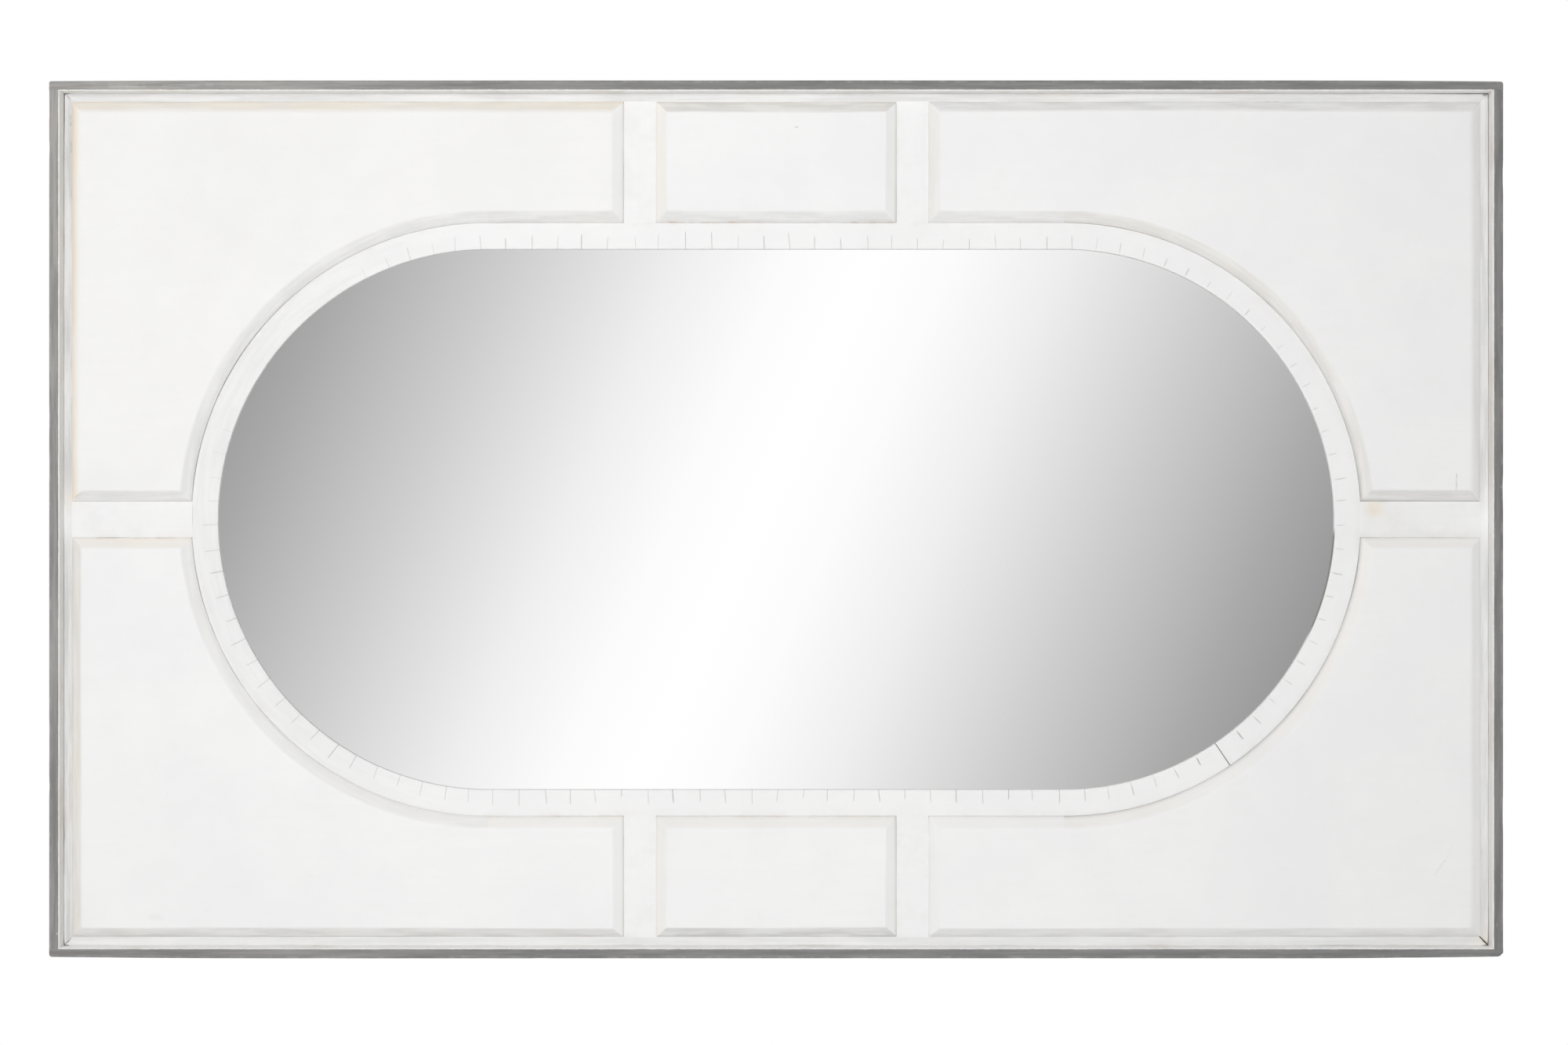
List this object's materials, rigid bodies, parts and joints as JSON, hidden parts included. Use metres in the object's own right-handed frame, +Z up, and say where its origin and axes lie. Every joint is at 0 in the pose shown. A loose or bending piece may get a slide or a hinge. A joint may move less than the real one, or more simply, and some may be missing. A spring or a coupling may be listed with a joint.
{
  "type": "wall mirror",
  "caption": "Landscape wall mirror: racetrack glass in a kerf-bent wooden ring, set among bevelled panels in a shallow painted tray, with swinging hanger rings on its recessed back.",
  "frame": {"origin": "the middle of the mirror's box: half its width, half its height and half its depth", "axes": "+X along the width to the right as seen from the front, +Y out of the back to the wall, +Z up"},
  "size_m": [1.54, 0.04, 0.93],
  "materials": {
    "whitewashed_members": "matte",
    "whitewashed_panels": "matte",
    "grey_edge_paint": "matte",
    "silvered_glass": "polished",
    "plywood": "matte",
    "pad_card": "matte",
    "hardboard": "matte",
    "zinc_fasteners": "satin",
    "hanger_steel": "satin"
  },
  "bodies": {
    "mirror": {"back_board": "hardboard", "back_board_staples": "zinc_fasteners", "carrier_board": "plywood", "centre_panel_bottom": "whitewashed_panels", "centre_panel_top": "whitewashed_panels", "corner_brads": "zinc_fasteners", "corner_panel_bottom_left": "whitewashed_panels", "corner_panel_bottom_right": "whitewashed_panels", "corner_panel_top_left": "whitewashed_panels", "corner_panel_top_right": "whitewashed_panels", "edge_board_bottom": "grey_edge_paint", "edge_board_left": "grey_edge_paint", "edge_board_right": "grey_edge_paint", "edge_board_top": "grey_edge_paint", "edge_brads": "zinc_fasteners", "glass_pad": "pad_card", "hanger_screws": "zinc_fasteners", "hanger_strap_left": "hanger_steel", "hanger_strap_right": "hanger_steel", "kerfed_ring": "whitewashed_members", "margin_strip_bottom": "whitewashed_members", "margin_strip_left": "whitewashed_members", "margin_strip_right": "whitewashed_members", "margin_strip_top": "whitewashed_members", "mirror_glass": "silvered_glass", "panel_brads": "zinc_fasteners", "side_stub_left": "whitewashed_members", "side_stub_right": "whitewashed_members", "stub_bottom_left": "whitewashed_members", "stub_bottom_right": "whitewashed_members", "stub_top_left": "whitewashed_members", "stub_top_right": "whitewashed_members"},
    "left_ring": {"hanger_ring_left": "hanger_steel"},
    "right_ring": {"hanger_ring_right": "hanger_steel"}
  },
  "joints": [
    {"name": "left_ring_swing", "type": "hinge", "parent": "mirror", "child": "left_ring", "pos_m": [-0.45, 0.01498, 0.375], "axis": [-1, 0, 0], "range_deg": [0, 180]},
    {"name": "right_ring_swing", "type": "hinge", "parent": "mirror", "child": "right_ring", "pos_m": [0.45, 0.01498, 0.375], "axis": [-1, 0, 0], "range_deg": [0, 180]}
  ]
}
